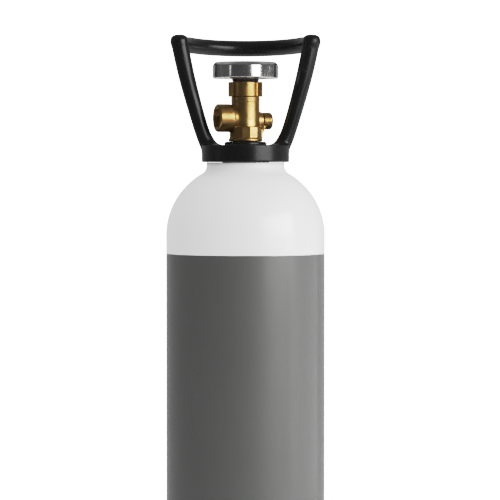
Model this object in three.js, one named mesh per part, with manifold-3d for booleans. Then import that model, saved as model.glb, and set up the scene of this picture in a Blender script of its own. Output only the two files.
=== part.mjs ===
// Compressed-gas cylinder with a brass handwheel valve and a carrying guard.
// Millimetres, +Z up. The origin is on the cylinder axis, on the floor under the boot.
// The open side of the guard faces -Y, and the valve outlet points to -X.

import * as THREE from "three";
import { mergeVertices } from "three/addons/utils/BufferGeometryUtils.js";
import Module from "manifold-3d";

const wasm = await Module();
wasm.setup();

// ---------------------------------------------------------------- driving dimensions

const CLEARANCE = 0.3;

// pressure vessel
const TANK_R = 85.5;
const TANK_WALL = 4.5;
const TANK_LENGTH = 665;
const BOOT_FLOOR = 7;
const NECK_TOP = BOOT_FLOOR + TANK_LENGTH;
const BASE_DOME_H = 62;
const BASE_DOME_STEPS = 7;
const BASE_THICKNESS = 8;
const SHOULDER_Z = 575.4;
const SHOULDER_H = 78.8;
const SHOULDER_INNER_H = 65;
const NECK_COLLAR_R = 42.35;
const NECK_COLLAR_TOP = NECK_TOP - 18.6;
const NECK_R = 25;
const NECK_BORE_R = 12.6;
const O_RING_SEAT_R = 16;
const O_RING_SEAT_DEPTH = 3.7;

// boot
const BOOT_WALL = 3.5;
const BOOT_R = TANK_R + CLEARANCE + BOOT_WALL;
const BOOT_HEIGHT = 76;
const BOOT_HUB_R = 30;
const BOOT_RIBS = 8;
const BOOT_RIB_WIDTH = 3;

// guard
const GUARD_R = 46.8;
const GUARD_INNER_R = 40.3;
const GUARD_SKIRT = 18.3;
const GUARD_PLATE = 4.7;
const GRIP_R = 71.3;
const GRIP_TUBE_R = 8.2;
const GRIP_Z = 111.8;
const GRIP_TILT = 0.067;
const POST_TUBE_R = 7.9;
const LOCK_SCREW_R = 3;
const LOCK_SCREW_LENGTH = 6;
const LOCK_SCREW_Z = -12;
const LOCK_SCREW_ANGLES = { right: 45, left: 135 };

// valve, heights above the neck's top face
const VALVE_YAW = THREE.MathUtils.degToRad(18);
const BODY_BASE = 4;
const BODY_TOP = 52;
const STEM_R = NECK_BORE_R - CLEARANCE;
const STEM_DEPTH = 32;
const SEAT_Z = 30;
const CHAMBER_R = 7.8;
const SPIGOT_R = 10.5;
const SPIGOT_TOP = 61.5;
const OUTLET_Z = 29.1;
const OUTLET_R = 15.1;
const OUTLET_ROOT_R = 12;
const OUTLET_LENGTH = 32.8;
const OUTLET_BORE_R = 10.6;
const OUTLET_BORE_DEPTH = 14;
const RELIEF_Z = 26.1;
const RELIEF_R = 9.6;
const RELIEF_LENGTH = 18.1;
const RELIEF_BORE_R = 5.8;
const RELIEF_BORE_START = 13.6;

// gland, spindle and plug
const GLAND_R = 14.3;
const GLAND_TOP = 68.2;
const GLAND_LUG_REACH = 18.4;
const GLAND_LUG_HALF = 6.5;
const SPINDLE_R = 5;
const SPINDLE_TOP = 89.6;
const SQUARE = 7;
const TANG_THICKNESS = 3;
const TANG_WIDTH = 9;
const TANG_BOTTOM = 40.5;
const PLUG_R = 7.5;
const PLUG_BOTTOM = SEAT_Z + 2.9;
const PLUG_TOP = 46.9;

// handwheel
const WHEEL_R = 34.9;
const WHEEL_SCALLOP = 3.4;
const WHEEL_LOBES = 4;
const WHEEL_BOTTOM = 71.7;
const WHEEL_TOP = 90.1;
const WHEEL_RECESS_R = 13;
const WHEEL_HUB_TOP = 79;

// facets round a full turn
const COARSE = 20;
const MEDIUM = 32;
const FINE = 40;

// ---------------------------------------------------------------- solids and meshes

// A closed geometry as a manifold solid.
function solid(geometry) {
  const bare = geometry.index ? geometry.toNonIndexed() : geometry.clone();
  bare.deleteAttribute("normal");
  bare.deleteAttribute("uv");
  const merged = mergeVertices(bare, 1e-4);
  const index = merged.index.array;
  const kept = [];
  for (let i = 0; i < index.length; i += 3) {
    const [a, b, c] = [index[i], index[i + 1], index[i + 2]];
    if (a !== b && b !== c && c !== a) kept.push(a, b, c);
  }
  return new wasm.Manifold(new wasm.Mesh({
    numProp: 3,
    vertProperties: new Float32Array(merged.attributes.position.array),
    triVerts: new Uint32Array(kept),
  }));
}

// A solid of revolution about Z. The outline runs counter-clockwise in the (radius, height) plane.
function turned(outline, facets = MEDIUM) {
  const points = outline.map(([r, z]) => new THREE.Vector2(r, z));
  return solid(new THREE.LatheGeometry(points, facets).rotateX(Math.PI / 2));
}

// The outline of a plain ring or, with no inner radius, of a disc.
function ringOutline(inner, outer, bottom, top) {
  if (inner === 0) return [[0, bottom], [outer, bottom], [outer, top], [0, top]];
  return [[inner, bottom], [outer, bottom], [outer, top], [inner, top], [inner, bottom]];
}

function ring(inner, outer, bottom, top, facets = MEDIUM) {
  return turned(ringOutline(inner, outer, bottom, top), facets);
}

// An O-ring lying flat.
function oRing(radius, section, z) {
  const sides = 6;
  const outline = [];
  for (let i = 0; i <= sides; i += 1) {
    const a = (i % sides) * 2 * Math.PI / sides;
    outline.push([radius + section * Math.cos(a), z + section * Math.sin(a)]);
  }
  return turned(outline, COARSE);
}

// A box between two corners.
function block(low, high) {
  const size = high.map((v, i) => v - low[i]);
  const middle = high.map((v, i) => (v + low[i]) / 2);
  return solid(new THREE.BoxGeometry(...size).translate(...middle));
}

// A prism with a regular section, given by its width across flats.
function prism(sides, acrossFlats, bottom, top, turn = 0) {
  const radius = acrossFlats / 2 / Math.cos(Math.PI / sides);
  const shape = new THREE.Shape();
  for (let i = 0; i < sides; i += 1) {
    const a = turn + (i + 0.5) * 2 * Math.PI / sides;
    const point = [radius * Math.cos(a), radius * Math.sin(a)];
    if (i === 0) shape.moveTo(...point);
    else shape.lineTo(...point);
  }
  const geometry = new THREE.ExtrudeGeometry(shape, { depth: top - bottom, bevelEnabled: false });
  return solid(geometry.translate(0, 0, bottom));
}

// A solid made along +Z, laid along +X at the given height.
function alongX(part, z) {
  return part.rotate([0, 90, 0]).translate([0, 0, z]);
}

// A solid made along +Z, laid along -X at the given height.
function alongMinusX(part, z) {
  return part.rotate([0, -90, 0]).translate([0, 0, z]);
}

// A round tube, solid inside, along a curve.
function rod(curve, radius, steps, sides) {
  const shape = new THREE.Shape();
  for (let i = 0; i < sides; i += 1) {
    const a = (i + 0.5) * 2 * Math.PI / sides;
    const point = [radius * Math.cos(a), radius * Math.sin(a)];
    if (i === 0) shape.moveTo(...point);
    else shape.lineTo(...point);
  }
  return solid(new THREE.ExtrudeGeometry(shape, { steps, extrudePath: curve, bevelEnabled: false }));
}

const FINISHES = {
  greyPaint: { color: 0x73736f, roughness: 0.45, metalness: 0.1 },
  blackPlastic: { color: 0x1d1d1e, roughness: 0.5, metalness: 0 },
  brass: { color: 0x8f6f3c, roughness: 0.35, metalness: 1 },
  chrome: { color: 0xb9bab8, roughness: 0.15, metalness: 1 },
  steel: { color: 0x8a8c8e, roughness: 0.4, metalness: 1 },
  rubber: { color: 0x141414, roughness: 0.8, metalness: 0 },
  polymer: { color: 0xd8d6cc, roughness: 0.6, metalness: 0 },
};

// A named mesh of a manifold solid.
function mesh(name, part, finish) {
  const { numProp, vertProperties, triVerts } = part.getMesh();
  if (numProp !== 3) throw new Error(`${name} carries more than positions`);
  const geometry = new THREE.BufferGeometry();
  geometry.setAttribute("position", new THREE.BufferAttribute(vertProperties, 3));
  geometry.setIndex(new THREE.BufferAttribute(triVerts, 1));
  geometry.computeVertexNormals();
  const made = new THREE.Mesh(geometry, new THREE.MeshStandardMaterial(FINISHES[finish]));
  made.name = name;
  return made;
}

// Points on a quarter ellipse about the axis, from angle to angle in degrees above the horizontal.
function ellipseArc(a, b, centreZ, from, to, count) {
  const points = [];
  for (let i = 0; i <= count; i += 1) {
    const angle = THREE.MathUtils.degToRad(from + (to - from) * i / count);
    points.push([a * Math.cos(angle), centreZ + b * Math.sin(angle)]);
  }
  return points;
}

// The angle at which a quarter ellipse of half-width a has the radius r.
function ellipseAngle(a, r) {
  return THREE.MathUtils.radToDeg(Math.acos(r / a));
}

// ---------------------------------------------------------------- vessel and boot

function cylinderShell() {
  const domeZ = BOOT_FLOOR + BASE_DOME_H;
  const innerR = TANK_R - TANK_WALL;
  const filletStart = 47;
  const outside = [
    ...ellipseArc(TANK_R, BASE_DOME_H, domeZ, -90, 0, BASE_DOME_STEPS),
    ...ellipseArc(TANK_R, SHOULDER_H, SHOULDER_Z, 0, ellipseAngle(TANK_R, filletStart), 8),
    [NECK_COLLAR_R + 1.1, NECK_COLLAR_TOP - 8.6],
    [NECK_COLLAR_R, NECK_COLLAR_TOP - 4.5],
    [NECK_COLLAR_R, NECK_COLLAR_TOP],
    [NECK_R, NECK_COLLAR_TOP],
    [NECK_R, NECK_TOP],
  ];
  const inside = [
    [O_RING_SEAT_R, NECK_TOP],
    [O_RING_SEAT_R, NECK_TOP - O_RING_SEAT_DEPTH],
    [NECK_BORE_R, NECK_TOP - O_RING_SEAT_DEPTH],
    ...ellipseArc(innerR, SHOULDER_INNER_H, SHOULDER_Z, ellipseAngle(innerR, NECK_BORE_R), 0, 5),
    ...ellipseArc(innerR, BASE_DOME_H - BASE_THICKNESS, domeZ, 0, -90, 5),
  ];
  const closeToAxis = ([r, z]) => [Math.abs(r) < 1e-9 ? 0 : r, z];
  return turned([...outside, ...inside].map(closeToAxis), FINE);
}

function tankBoot() {
  const domeZ = BOOT_FLOOR + BASE_DOME_H;
  const cupR = TANK_R + CLEARANCE;
  const cupH = BASE_DOME_H + CLEARANCE;
  const skin = BOOT_WALL + 0.5;
  const footInner = 79;
  // The cup has the dome's own facets, one clearance further out, down to the central drain.
  const cupSteps = BASE_DOME_STEPS - 1;
  const cupArc = ellipseArc(cupR, cupH, domeZ, 0, -90 * cupSteps / BASE_DOME_STEPS, cupSteps);
  const drainR = cupArc[cupSteps][0];
  const cup = turned([
    [drainR, 0],
    [BOOT_R - 3, 0],
    [BOOT_R, 4],
    [BOOT_R, BOOT_HEIGHT - 2],
    [BOOT_R - 1.5, BOOT_HEIGHT],
    [cupR, BOOT_HEIGHT],
    ...cupArc,
    [drainR, 0],
  ], FINE);
  const pocketDrop = -ellipseAngle(cupR, footInner);
  const pocketRoof = ellipseArc(cupR, cupH, domeZ - skin, pocketDrop, -ellipseAngle(cupR, BOOT_HUB_R), 4);
  let pocket = turned([[BOOT_HUB_R, -1], [footInner, -1], ...pocketRoof, [BOOT_HUB_R, -1]], FINE);
  for (let i = 0; i < BOOT_RIBS / 2; i += 1) {
    const rib = block([-BOOT_R, -BOOT_RIB_WIDTH / 2, -2], [BOOT_R, BOOT_RIB_WIDTH / 2, domeZ]);
    pocket = pocket.subtract(rib.rotate([0, 0, (i + 0.5) * 360 / BOOT_RIBS]));
  }
  let boot = cup.subtract(pocket);
  for (let i = 0; i < BOOT_RIBS; i += 1) {
    const angle = i * 2 * Math.PI / BOOT_RIBS;
    const drain = ring(0, 4, -1, domeZ, 10).translate([52 * Math.cos(angle), 52 * Math.sin(angle), 0]);
    boot = boot.subtract(drain);
  }
  return boot;
}

// ---------------------------------------------------------------- neck fittings and guard

// Heights in this section are above the neck's top face.

class GripArc extends THREE.Curve {
  getPoint(t, target = new THREE.Vector3()) {
    const angle = Math.PI * t;
    const y = GRIP_R * Math.sin(angle);
    return target.set(GRIP_R * Math.cos(angle), y, GRIP_Z - GRIP_TILT * y);
  }
}

// The right-hand post's centre line, from inside the ring's plate to the grip.
function postCurve() {
  return new THREE.CatmullRomCurve3([
    new THREE.Vector3(38.5, 0, -4),
    new THREE.Vector3(42.8, 0, 5.6),
    new THREE.Vector3(47.3, 0, 17),
    new THREE.Vector3(53.8, 0, 38),
    new THREE.Vector3(59.8, 0, 59.6),
    new THREE.Vector3(65.4, 0, 82),
    new THREE.Vector3(GRIP_R, 0, GRIP_Z),
  ]);
}

function lockScrewFrame(part, degrees) {
  return alongX(part, LOCK_SCREW_Z).rotate([0, 0, degrees]);
}

function carryGuard() {
  const cap = turned([
    [GUARD_INNER_R, -GUARD_SKIRT],
    [GUARD_R, -GUARD_SKIRT],
    [GUARD_R, -1.6],
    [GUARD_R - 1.6, 0],
    [NECK_R + CLEARANCE, 0],
    [NECK_R + CLEARANCE, -GUARD_PLATE],
    [GUARD_INNER_R, -GUARD_PLATE],
    [GUARD_INNER_R, -GUARD_SKIRT],
  ], FINE);
  const keepOut = ring(0, GUARD_INNER_R, -GUARD_SKIRT - 1, -GUARD_PLATE, FINE);
  const corner = solid(new THREE.SphereGeometry(GRIP_TUBE_R + 0.2, 16, 10).rotateX(Math.PI / 2));
  let guard = cap.add(rod(new GripArc(), GRIP_TUBE_R, 26, 12));
  for (const side of [1, -1]) {
    const post = rod(postCurve(), POST_TUBE_R, 12, 12).rotate([0, 0, side > 0 ? 0 : 180]);
    guard = guard.add(post).add(corner.translate([side * GRIP_R, 0, GRIP_Z]));
  }
  guard = guard.subtract(keepOut);
  for (const degrees of Object.values(LOCK_SCREW_ANGLES)) {
    const hole = ring(0, LOCK_SCREW_R + CLEARANCE, GUARD_INNER_R - 2, GUARD_R + 2, 12);
    guard = guard.subtract(lockScrewFrame(hole, degrees));
  }
  return guard;
}

// A grub screw with a hexagon socket in its outer end.
function lockScrew(degrees) {
  const end = GUARD_INNER_R + LOCK_SCREW_LENGTH;
  const shank = ring(0, LOCK_SCREW_R, GUARD_INNER_R, end, 12);
  const socket = prism(6, 3, end - 3, end + 1);
  return lockScrewFrame(shank.subtract(socket), degrees);
}

function neckRing() {
  return ring(NECK_R + CLEARANCE, GUARD_INNER_R - CLEARANCE, -18.3, -GUARD_PLATE - CLEARANCE, FINE);
}

function inspectionRing() {
  return turned([
    [NECK_BORE_R, CLEARANCE],
    [22.7, CLEARANCE],
    [22.7, 2.6],
    [21.4, 3.7],
    [NECK_BORE_R, 3.7],
    [NECK_BORE_R, CLEARANCE],
  ]);
}

// ---------------------------------------------------------------- valve body and fixed fittings

// Heights in the valve sections are above the neck's top face.

function valveBody() {
  const trunk = turned([
    [0, -STEM_DEPTH],
    [STEM_R, -STEM_DEPTH],
    [STEM_R, BODY_BASE],
    [18, BODY_BASE],
    [18, 6.6],
    [15.9, 6.6],
    [15.9, 19.6],
    [15.4, 27],
    [15.4, BODY_TOP - 1],
    [14.8, BODY_TOP],
    [SPIGOT_R, BODY_TOP],
    [SPIGOT_R, SPIGOT_TOP],
    [0, SPIGOT_TOP],
  ]);
  const flats = prism(12, 33.6, 6, 19.6);
  const outletStub = turned([
    [0, 0],
    [OUTLET_ROOT_R, 0],
    [OUTLET_ROOT_R, 14],
    [13.6, 14.9],
    [14.7, 16.7],
    [OUTLET_R, 19.5],
    [OUTLET_R, OUTLET_LENGTH - 3],
    [13.3, OUTLET_LENGTH],
    [0, OUTLET_LENGTH],
  ]);
  const reliefStub = ring(0, RELIEF_R, 0, RELIEF_LENGTH, COARSE);
  const outletBore = turned([
    [0, OUTLET_LENGTH - OUTLET_BORE_DEPTH],
    [OUTLET_BORE_R, OUTLET_LENGTH - OUTLET_BORE_DEPTH],
    [OUTLET_BORE_R, OUTLET_LENGTH - 0.6],
    [OUTLET_BORE_R + 1.6, OUTLET_LENGTH + 1],
    [0, OUTLET_LENGTH + 1],
  ], COARSE);
  const outletPassage = ring(0, 3.5, 0, OUTLET_LENGTH - 5, 12);
  const reliefBore = ring(0, RELIEF_BORE_R, RELIEF_BORE_START, RELIEF_LENGTH + 1, COARSE);
  const reliefPassage = ring(0, 1.8, 0, RELIEF_BORE_START + 1, 8);
  const spindleBore = ring(0, CHAMBER_R, SEAT_Z, SPIGOT_TOP + 1, COARSE);
  const inlet = ring(0, 3, -STEM_DEPTH - 1, SEAT_Z + 1, 12);
  const tubeSocket = ring(0, 4.1, -STEM_DEPTH - 1, -14, COARSE);
  return trunk
    .add(flats)
    .add(alongMinusX(outletStub, OUTLET_Z))
    .add(alongX(reliefStub, RELIEF_Z))
    .subtract(alongMinusX(outletBore, OUTLET_Z))
    .subtract(alongMinusX(outletPassage, SEAT_Z + 2.6))
    .subtract(alongX(reliefBore, RELIEF_Z))
    .subtract(alongX(reliefPassage, RELIEF_Z))
    .subtract(spindleBore)
    .subtract(inlet)
    .subtract(tubeSocket);
}

function glandNut() {
  const shellOfNut = turned([
    [0, BODY_TOP + CLEARANCE],
    [GLAND_R, BODY_TOP + CLEARANCE],
    [GLAND_R, GLAND_TOP],
    [0, GLAND_TOP],
  ]);
  const lugs = block(
    [-GLAND_LUG_REACH, -GLAND_LUG_HALF, BODY_TOP + CLEARANCE],
    [GLAND_LUG_REACH, GLAND_LUG_HALF, GLAND_TOP],
  );
  const bore = turned([
    [0, BODY_TOP - 1],
    [SPIGOT_R + CLEARANCE, BODY_TOP - 1],
    [SPIGOT_R + CLEARANCE, SPIGOT_TOP + 0.5],
    [CHAMBER_R, SPIGOT_TOP + 0.5],
    [CHAMBER_R, 65.4],
    [SPINDLE_R + 0.4, 65.4],
    [SPINDLE_R + 0.4, GLAND_TOP + 1],
    [0, GLAND_TOP + 1],
  ], COARSE);
  return shellOfNut.add(lugs).subtract(bore);
}

// The bursting-disc plug, made along +Z before it is laid into the relief stub.
function reliefPlug() {
  const start = RELIEF_BORE_START + 2.5;
  const headStart = RELIEF_LENGTH + CLEARANCE;
  const end = 28.3;
  const body = turned([
    [0, start],
    [RELIEF_BORE_R - CLEARANCE, start],
    [RELIEF_BORE_R - CLEARANCE, headStart],
    [7.4, headStart],
    [7.4, headStart + 0.9],
    [8.6, headStart + 0.9],
    [8.6, end - 1],
    [7.6, end],
    [0, end],
  ], COARSE);
  const bore = ring(0, 2.2, start - 1, 23, 12);
  const vent = ring(0, 1.2, -12, 12, 8).rotate([90, 0, 0]).translate([0, 0, headStart + 2.8]);
  return alongX(body.subtract(bore).subtract(vent), RELIEF_Z);
}

// The disc lies on the bore's floor and the gasket between the disc and the plug.
function burstDisc() {
  const start = RELIEF_BORE_START + CLEARANCE;
  return alongX(ring(0, 5.4, start, start + 0.6, COARSE), RELIEF_Z);
}

function reliefGasket() {
  const start = RELIEF_BORE_START + 1.2;
  return alongX(ring(3, 5.4, start, start + 1, COARSE), RELIEF_Z);
}

// ---------------------------------------------------------------- spindle, plug and handwheel

function upperSpindle() {
  const shaft = turned([
    [0, 50.6],
    [7.4, 50.6],
    [7.4, 53],
    [SPINDLE_R, 53],
    [SPINDLE_R, WHEEL_BOTTOM - CLEARANCE],
    [0, WHEEL_BOTTOM - CLEARANCE],
  ], COARSE);
  const tang = block(
    [-TANG_WIDTH / 2, -TANG_THICKNESS / 2, TANG_BOTTOM],
    [TANG_WIDTH / 2, TANG_THICKNESS / 2, 51],
  );
  const square = prism(4, SQUARE, WHEEL_BOTTOM - 1, WHEEL_HUB_TOP - 0.4);
  const thread = ring(0, 3, WHEEL_HUB_TOP - 1, SPINDLE_TOP, 16);
  return shaft.add(tang).add(square).add(thread);
}

function lowerSpindle() {
  const body = ring(0, PLUG_R, PLUG_BOTTOM, PLUG_TOP, COARSE);
  const recess = ring(0, 5.3, PLUG_BOTTOM - 1, PLUG_BOTTOM + 1.7, COARSE);
  const slot = block([-10, -TANG_THICKNESS / 2 - CLEARANCE, 36.4], [10, TANG_THICKNESS / 2 + CLEARANCE, 60]);
  return body.subtract(recess).subtract(slot);
}

function handwheel() {
  const points = 48;
  const bevel = 3;
  const shape = new THREE.Shape();
  for (let i = 0; i < points; i += 1) {
    const a = i * 2 * Math.PI / points;
    const valley = (1 - Math.cos(WHEEL_LOBES * a)) / 2;
    const radius = WHEEL_R - bevel - WHEEL_SCALLOP * valley * valley;
    const point = [radius * Math.cos(a), radius * Math.sin(a)];
    if (i === 0) shape.moveTo(...point);
    else shape.lineTo(...point);
  }
  const rim = solid(new THREE.ExtrudeGeometry(shape, {
    depth: WHEEL_TOP - WHEEL_BOTTOM - 2 * bevel,
    bevelThickness: bevel,
    bevelSize: bevel,
    bevelSegments: 2,
    curveSegments: 1,
  }).translate(0, 0, WHEEL_BOTTOM + bevel));
  const recess = ring(0, WHEEL_RECESS_R, WHEEL_HUB_TOP, WHEEL_TOP + 1, COARSE);
  const underside = ring(16.5, 27, WHEEL_BOTTOM - 1, WHEEL_BOTTOM + 7, COARSE);
  const squareHole = prism(4, SQUARE + 2 * CLEARANCE, WHEEL_BOTTOM - 1, WHEEL_HUB_TOP + 1);
  return rim.subtract(recess).subtract(underside).subtract(squareHole);
}

class SpringHelix extends THREE.Curve {
  getPoint(t, target = new THREE.Vector3()) {
    const turns = 2;
    const a = turns * 2 * Math.PI * t;
    const rise = 3.5;
    return target.set(5.6 * Math.cos(a), 5.6 * Math.sin(a), WHEEL_HUB_TOP + 1.1 + rise * t);
  }
}

function handwheelNut() {
  const blank = prism(6, 10, 85.8, 89.4);
  return blank.subtract(ring(0, 3.3, 85, 90, 16));
}

// ---------------------------------------------------------------- assembly

const tank = new THREE.Group();
tank.add(
  mesh("cylinder_shell", cylinderShell(), "greyPaint"),
  mesh("tank_boot", tankBoot(), "blackPlastic"),
);

const neckFittings = new THREE.Group();
neckFittings.position.z = NECK_TOP;
neckFittings.add(
  mesh("neck_ring", neckRing(), "steel"),
  mesh("carry_guard", carryGuard(), "blackPlastic"),
  mesh("inspection_ring", inspectionRing(), "blackPlastic"),
  mesh("gland_nut", glandNut(), "brass"),
  mesh("neck_o_ring", oRing(14.2, 1.5, -1.9), "rubber"),
);
for (const [side, degrees] of Object.entries(LOCK_SCREW_ANGLES)) {
  neckFittings.add(mesh(`guard_lock_screw_${side}`, lockScrew(degrees), "steel"));
}
tank.add(neckFittings);

const valve = new THREE.Group();
valve.position.z = NECK_TOP;
valve.rotation.z = VALVE_YAW;
valve.add(
  mesh("valve_body", valveBody(), "brass"),
  mesh("debris_tube", ring(2.6, 3.8, -60, -14.3, 16), "brass"),
  mesh("relief_plug", reliefPlug(), "brass"),
  mesh("burst_disc", burstDisc(), "steel"),
  mesh("relief_gasket", reliefGasket(), "polymer"),
  mesh("thrust_washer", ring(5.3, 7.4, 53.3, 54.8, COARSE), "polymer"),
  mesh("spindle_o_ring_lower", oRing(6.4, 1.1, 56.4), "rubber"),
  mesh("spindle_o_ring_upper", oRing(6.4, 1.1, 59.4), "rubber"),
  mesh("packing_ring", ring(5.4, 7.4, 61.2, 65.1, COARSE), "polymer"),
);
tank.add(valve);

const wheelGroup = new THREE.Group();
wheelGroup.position.z = NECK_TOP;
const collar = turned([
  [5.4, GLAND_TOP + CLEARANCE],
  [14.1, GLAND_TOP + CLEARANCE],
  [14.4, WHEEL_BOTTOM - CLEARANCE],
  [5.4, WHEEL_BOTTOM - CLEARANCE],
  [5.4, GLAND_TOP + CLEARANCE],
]);
wheelGroup.add(
  mesh("upper_spindle", upperSpindle(), "brass"),
  mesh("lower_spindle", lowerSpindle(), "brass"),
  mesh("seat_disc", ring(0, 5, SEAT_Z + CLEARANCE, PLUG_BOTTOM + 1.4, COARSE), "polymer"),
  mesh("handwheel", handwheel(), "chrome"),
  mesh("handwheel_collar", collar, "blackPlastic"),
  mesh("handwheel_spring", rod(new SpringHelix(), 0.7, 32, 6), "steel"),
  mesh("handwheel_washer", ring(3.3, 8, 84.5, 85.5, COARSE), "steel"),
  mesh("handwheel_nut", handwheelNut(), "steel"),
);
tank.add(wheelGroup);

export default tank;
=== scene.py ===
# Studio scene of a compressed-gas cylinder with a brass handwheel valve and a carrying guard.
# Shapes are worked out in millimetres and written in metres. The vessel and its boot are measured from
# the floor, and everything above them from the neck's top face.

import math

import bmesh
import bpy
import numpy as np
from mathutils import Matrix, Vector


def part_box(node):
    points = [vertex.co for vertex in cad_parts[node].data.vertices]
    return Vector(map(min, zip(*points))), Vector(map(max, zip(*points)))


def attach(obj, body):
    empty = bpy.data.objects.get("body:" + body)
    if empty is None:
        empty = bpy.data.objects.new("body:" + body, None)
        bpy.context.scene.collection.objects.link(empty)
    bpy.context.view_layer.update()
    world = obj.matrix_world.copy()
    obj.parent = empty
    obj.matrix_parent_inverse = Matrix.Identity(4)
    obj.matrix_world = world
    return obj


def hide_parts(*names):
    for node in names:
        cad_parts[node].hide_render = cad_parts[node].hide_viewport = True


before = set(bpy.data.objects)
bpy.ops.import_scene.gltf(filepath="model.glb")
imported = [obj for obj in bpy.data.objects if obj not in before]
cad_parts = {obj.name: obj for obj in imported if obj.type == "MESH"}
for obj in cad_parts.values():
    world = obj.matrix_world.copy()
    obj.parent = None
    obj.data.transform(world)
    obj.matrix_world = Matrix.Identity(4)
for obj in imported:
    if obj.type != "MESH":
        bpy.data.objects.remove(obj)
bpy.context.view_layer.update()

import openvdb
from mathutils import Matrix, Vector

# ------------------------ sizes from the frame

MM = 0.001
MICRON = 0.000001
FIXED = "cylinder"
TURNING = "spindle"
LIFTING = "plug"

NECK_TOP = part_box("cylinder_shell")[1].z
NECK_Z = NECK_TOP / MM
TANK_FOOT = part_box("cylinder_shell")[0].z / MM
TANK_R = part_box("cylinder_shell")[1].x / MM
BOOT_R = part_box("tank_boot")[1].x / MM
BOOT_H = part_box("tank_boot")[1].z / MM


def above_neck(z):
    """A frame height in metres as millimetres above the neck's top face."""
    return (z - NECK_TOP) / MM


GUARD_SKIRT = -above_neck(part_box("carry_guard")[0].z)
GUARD_TOP = above_neck(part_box("carry_guard")[1].z)
GLAND_BOTTOM = above_neck(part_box("gland_nut")[0].z)
GLAND_TOP = above_neck(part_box("gland_nut")[1].z)
COLLAR_BOTTOM = above_neck(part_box("handwheel_collar")[0].z)
COLLAR_TOP = above_neck(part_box("handwheel_collar")[1].z)

# The wheel's crowned rim stands a little wider and lower than its plain CAD drum.
RIM_SWELL = 0.6
RIM_DROP = 0.5
WHEEL_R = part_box("handwheel")[1].x / MM + RIM_SWELL
WHEEL_BOTTOM = above_neck(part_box("handwheel")[0].z)
WHEEL_TOP = above_neck(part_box("handwheel")[1].z) - RIM_DROP

# ------------------------ sizes of the shapes

# vessel
SIDE_WALL = 4.5
DOME_H = 62.0
DOME_WALL = 8.0
SHOULDER_Z = 575.4
SHOULDER_H = 78.8
SHOULDER_INNER_H = 65.0
PAINT_LINE_Z = 555.1
NECK_FILLET_R = 49.5
NECK_FILLET_TOP = 4.6
NECK_FILLET_CORNER = 10.6
NECK_COLLAR_R = 42.0
NECK_COLLAR_TOP = -18.6
NECK_R = 25.0
NECK_BORE_R = 12.6
NECK_BORE_DEPTH = 26.0
NECK_SEAT_R = 16.0
NECK_SEAT_DEPTH = 3.7

# boot
BOOT_GAP = 0.35
BOOT_SKIN = 4.0
BOOT_BORE_R = 19.2
FLUTES = 36
FLUTE_DEPTH = 0.9
FLUTE_MARGIN = 12.0
POCKET_INNER_R = 30.0
POCKET_OUTER_R = 79.0
SPOKES = 8
SPOKE_HALF = 1.6
DRAIN_HOLES = 8
DRAIN_HOLE_R = 4.0
DRAIN_CIRCLE_R = 52.0

# guard
GUARD_R = 47.2
GUARD_INNER_R = 40.3
GUARD_PLATE = 4.7
GRIP_R = 71.3
GRIP_TUBE_R = 8.7
GRIP_Z = 111.8
GRIP_TILT = 0.067
POST_TIP_H = 7.6
POST_TIP_INNER = 63.0

# The right-hand post's centreline: distance from the axis, height and tube radius.
POST = (
    (37.5, -5.0, 8.6),
    (41.5, 2.5, 8.5),
    (46.6, 14.5, 7.9),
    (53.8, 38.0, 8.0),
    (62.4, 70.0, 8.6),
    (67.4, 91.9, 8.9),
    (GRIP_R, GRIP_Z, 9.1),
)

# neck fittings
NECK_RING_INNER_R = 25.4
NECK_RING_R = 39.4
NECK_RING_BOTTOM = -18.2
NECK_RING_TOP = -5.2
INSPECTION_INNER_R = 12.7
INSPECTION_R = 22.7
INSPECTION_BOTTOM = 0.3
INSPECTION_TOP = 3.7
NECK_SEAL_R = 14.2
NECK_SEAL_SECTION = 1.45
NECK_SEAL_Z = -1.9
LOCK_SCREW_ANGLES = {"right": 45, "left": 135}
LOCK_SCREW_Z = -12.0
LOCK_SCREW_R = 3.0
LOCK_SCREW_START = 40.4
LOCK_SCREW_END = GUARD_INNER_R + 6.0
LOCK_SOCKET_R = 1.75
LOCK_SOCKET_DEPTH = 3.0

# valve body
VALVE_YAW = math.radians(18)
BODY_R = 15.4
BODY_TOP = 52.0
BODY_COLLAR_Z = 46.4
FOOT_Z = 6.0
FLARE_R = 15.9
FLARE_TOP = 27.0
BASE_FLATS = 12
BASE_ACROSS_FLATS = 33.6
BASE_FLATS_TOP = 19.6
FLANGE_R = 18.0
FLANGE_Z = 4.0
STEM_R = 11.9
STEM_END = -32.0
STEM_PITCH = 2.0
INLET_R = 3.0
INLET_MOUTH_R = 4.1
INLET_MOUTH_Z = -14.0
CHAMBER_R = 7.8
SPIGOT_R = 10.5
SPIGOT_TOP = 61.5
SEAT_Z = 30.0

# outlet boss
OUTLET_Z = 29.1
OUTLET_R = 15.1
OUTLET_ROOT_R = 12.0
OUTLET_SHOULDER = 19.5
OUTLET_DOME = 5.5
OUTLET_LENGTH = 32.8
OUTLET_BORE_R = 10.5
OUTLET_BORE_DEPTH = 14.0
OUTLET_PITCH = 1.81
OUTLET_PASSAGE_R = 3.5

# relief stub, plug, disc and gasket
RELIEF_Z = 26.1
RELIEF_R = 9.6
RELIEF_LENGTH = 18.1
RELIEF_BORE_START = 13.6
RELIEF_BORE_R = 5.8
RELIEF_PASSAGE_R = 1.8
PLUG_R = 5.4
PLUG_HEAD_R = 9.2
PLUG_END = 28.8
PLUG_RIDGES = 5
PLUG_HOLE_R = 2.2
PLUG_SOCKET_R = 3.4
PLUG_SOCKET_DEPTH = 3.2
PLUG_HOLE_END = 23.0
DISC_R = 5.35

# gland nut
GLAND_R = 14.3
GLAND_BORE_R = 5.4
GLAND_CHAMBER_TOP = 65.4
LUG_REACH = 18.4
LUG_HALF = 6.5

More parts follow.
